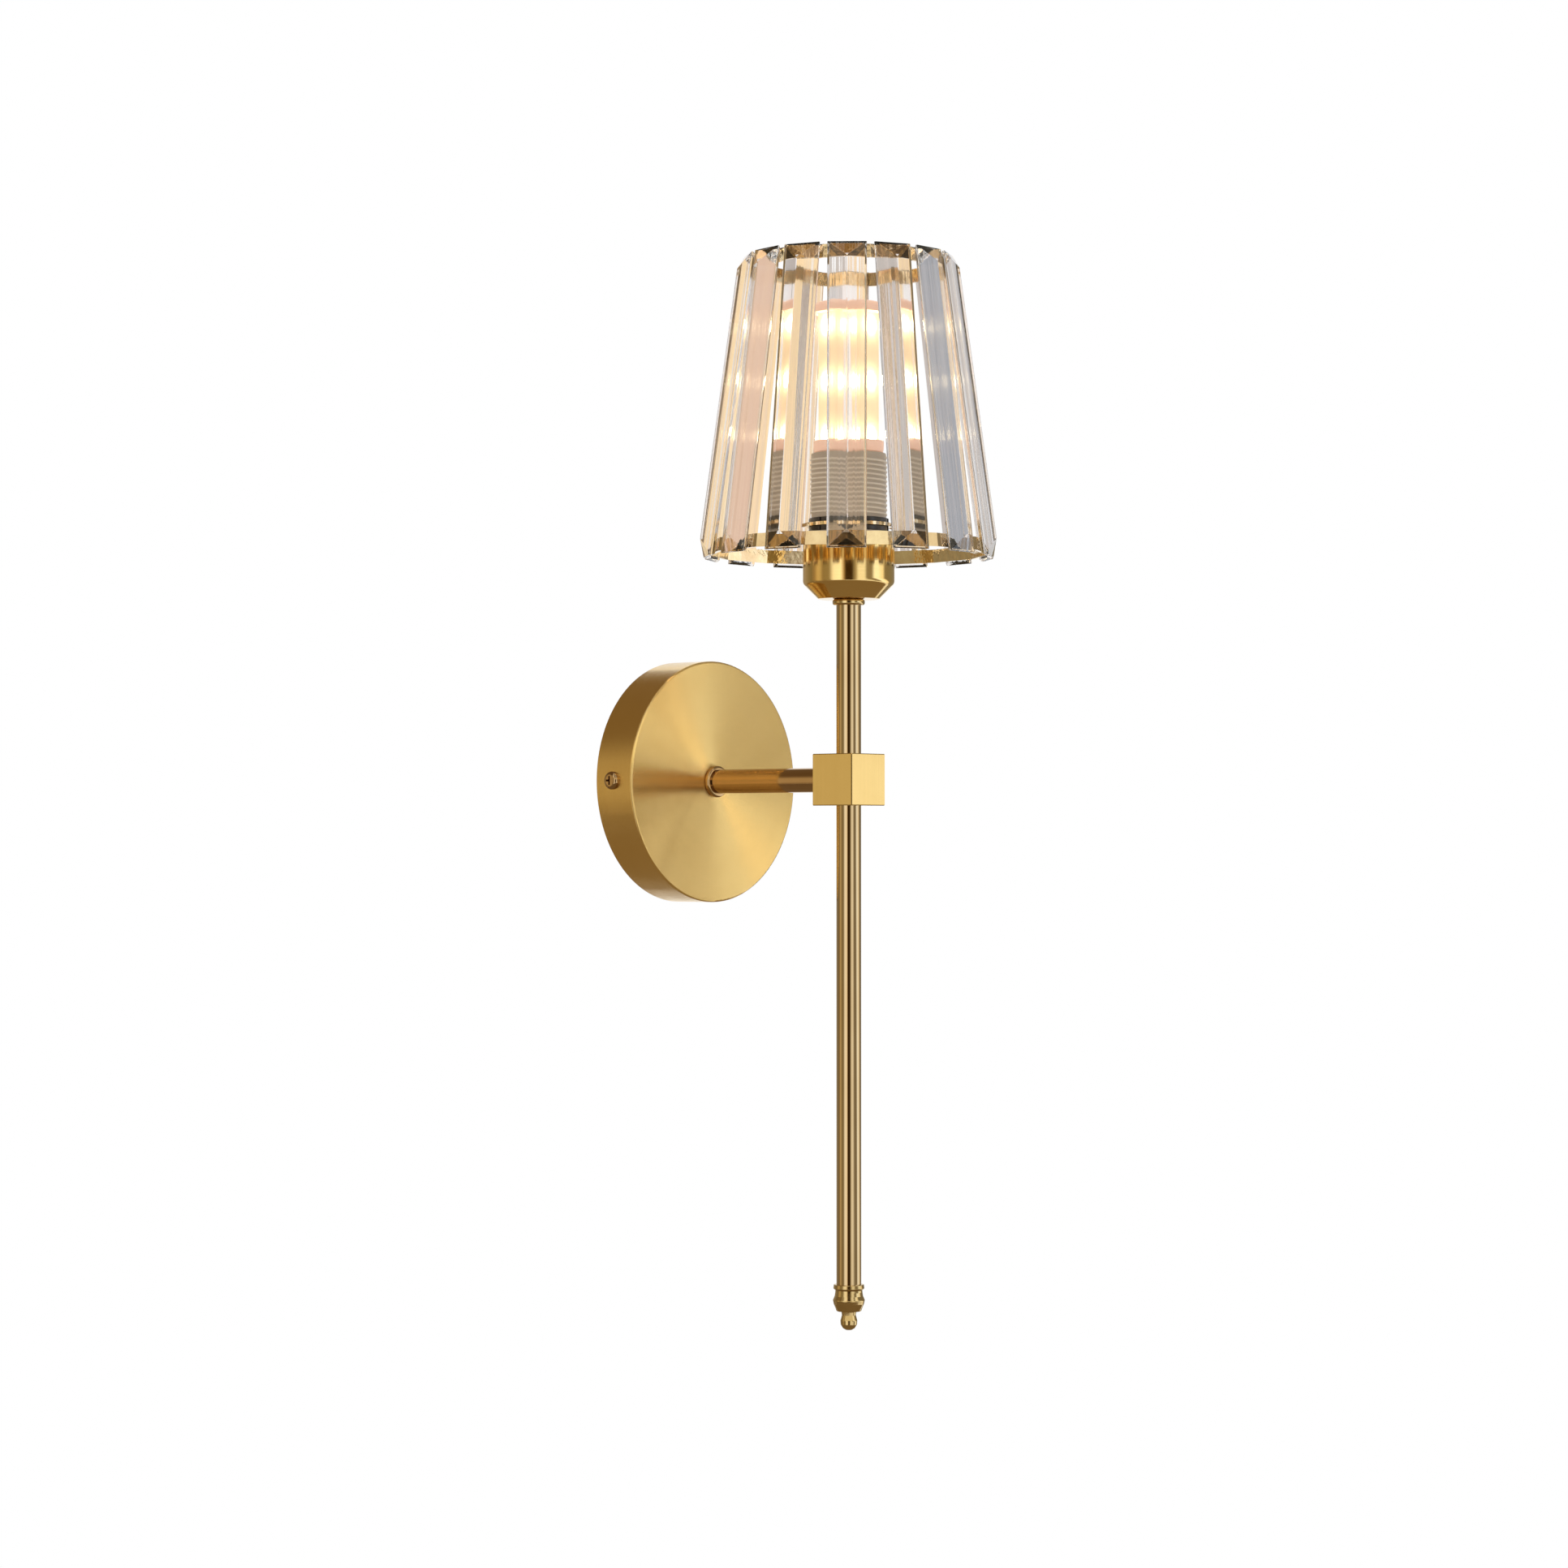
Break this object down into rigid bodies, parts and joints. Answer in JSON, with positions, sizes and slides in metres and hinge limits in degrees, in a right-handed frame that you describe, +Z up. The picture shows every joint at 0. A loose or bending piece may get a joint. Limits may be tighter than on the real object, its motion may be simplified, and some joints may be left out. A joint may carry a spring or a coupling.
{
  "type": "crystal wall sconce",
  "caption": "Brass wall sconce: round canopy, short arm, slim upright rod with finial, cup and open conical shade of cut crystal bars round a lit screw lamp.",
  "frame": {"origin": "on the wall plane, behind the middle of the canopy and midway between the two bracket slots", "axes": "+Z up along the rods, +Y into the wall, +X to the right seen from the room"},
  "size_m": [0.1428, 0.1842, 0.5179],
  "materials": {
    "satin_brass": "brushed satin, lacquered",
    "polished_brass": "polished, lacquered",
    "gold_plate": "mirror gold plate",
    "zinc_steel": "bright zinc plate",
    "holder_grey": "moulded, satin",
    "ring_dark": "moulded, satin",
    "ceramic": "unglazed white",
    "contact_brass": "plain",
    "lead_brown": "covered wire",
    "lead_blue": "covered wire",
    "lead_green": "covered wire",
    "crystal": "clear cut crystal, polished",
    "lamp_metal": "bright",
    "lamp_black_glass": "glossy",
    "lamp_body": "moulded, satin",
    "lamp_board": "white coated board",
    "lamp_phosphor": "lit warm white",
    "lamp_cover": "clear"
  },
  "bodies": {
    "fixture": {"canopy": "satin_brass", "arm_tube": "satin_brass", "upper_rod": "satin_brass", "lower_rod": "satin_brass", "lampholder_cup": "satin_brass", "cube_connector": "polished_brass", "finial": "polished_brass", "arm_collar": "polished_brass", "rod_top_collar": "polished_brass", "wall_bracket": "zinc_steel", "earth_screw": "zinc_steel", "canopy_lock_washer": "zinc_steel", "canopy_nut": "zinc_steel", "arm_nipple": "zinc_steel", "cube_nipples": "zinc_steel", "top_nipple": "zinc_steel", "cup_nut": "zinc_steel", "finial_bush": "zinc_steel", "lampholder_base": "holder_grey", "lampholder_skirt": "holder_grey", "lower_ring_nut": "ring_dark", "contact_block": "ceramic", "terminal_block": "ceramic", "screw_shell": "contact_brass", "centre_contact": "contact_brass", "holder_terminal_screws": "contact_brass", "live_lead": "lead_brown", "neutral_lead": "lead_blue", "earth_lead": "lead_green"},
    "shade": {"shade_carrier": "gold_plate", "bottom_ring": "gold_plate", "top_ring": "gold_plate", "crystal_bar_01": "crystal", "crystal_bar_02": "crystal", "crystal_bar_03": "crystal", "crystal_bar_04": "crystal", "crystal_bar_05": "crystal", "crystal_bar_06": "crystal", "crystal_bar_07": "crystal", "crystal_bar_08": "crystal", "crystal_bar_09": "crystal", "crystal_bar_10": "crystal", "crystal_bar_11": "crystal", "crystal_bar_12": "crystal", "crystal_bar_13": "crystal", "crystal_bar_14": "crystal"},
    "lamp": {"lamp_screw_cap": "lamp_metal", "lamp_insulator": "lamp_black_glass", "lamp_tip_contact": "lamp_metal", "lamp_housing": "lamp_body", "lamp_core": "lamp_board", "lamp_led_chips": "lamp_phosphor", "lamp_cover": "lamp_cover", "lamp_top_cap": "lamp_body"},
    "shade_nut": {"upper_ring_nut": "ring_dark"},
    "screw_left": {"side_screw_left": "polished_brass"},
    "screw_right": {"side_screw_right": "polished_brass"}
  },
  "joints": [
    {"name": "shade_lift", "type": "slide", "parent": "fixture", "child": "shade", "axis": [0, 0, 1], "range_m": [0, 0.135]},
    {"name": "ring_nut_turn", "type": "hinge", "parent": "shade", "child": "shade_nut", "pos_m": [0, -0.1113, 0.125], "axis": [0, 0, 1], "continuous": true},
    {"name": "lamp_lift", "type": "slide", "parent": "fixture", "child": "lamp", "axis": [0, 0, 1], "range_m": [0, 0.135]},
    {"name": "screw_left_turn", "type": "hinge", "parent": "fixture", "child": "screw_left", "pos_m": [-0.06, -0.011, 0], "axis": [1, 0, 0], "continuous": true},
    {"name": "screw_right_turn", "type": "hinge", "parent": "fixture", "child": "screw_right", "pos_m": [0.06, -0.011, 0], "axis": [1, 0, 0], "continuous": true}
  ]
}
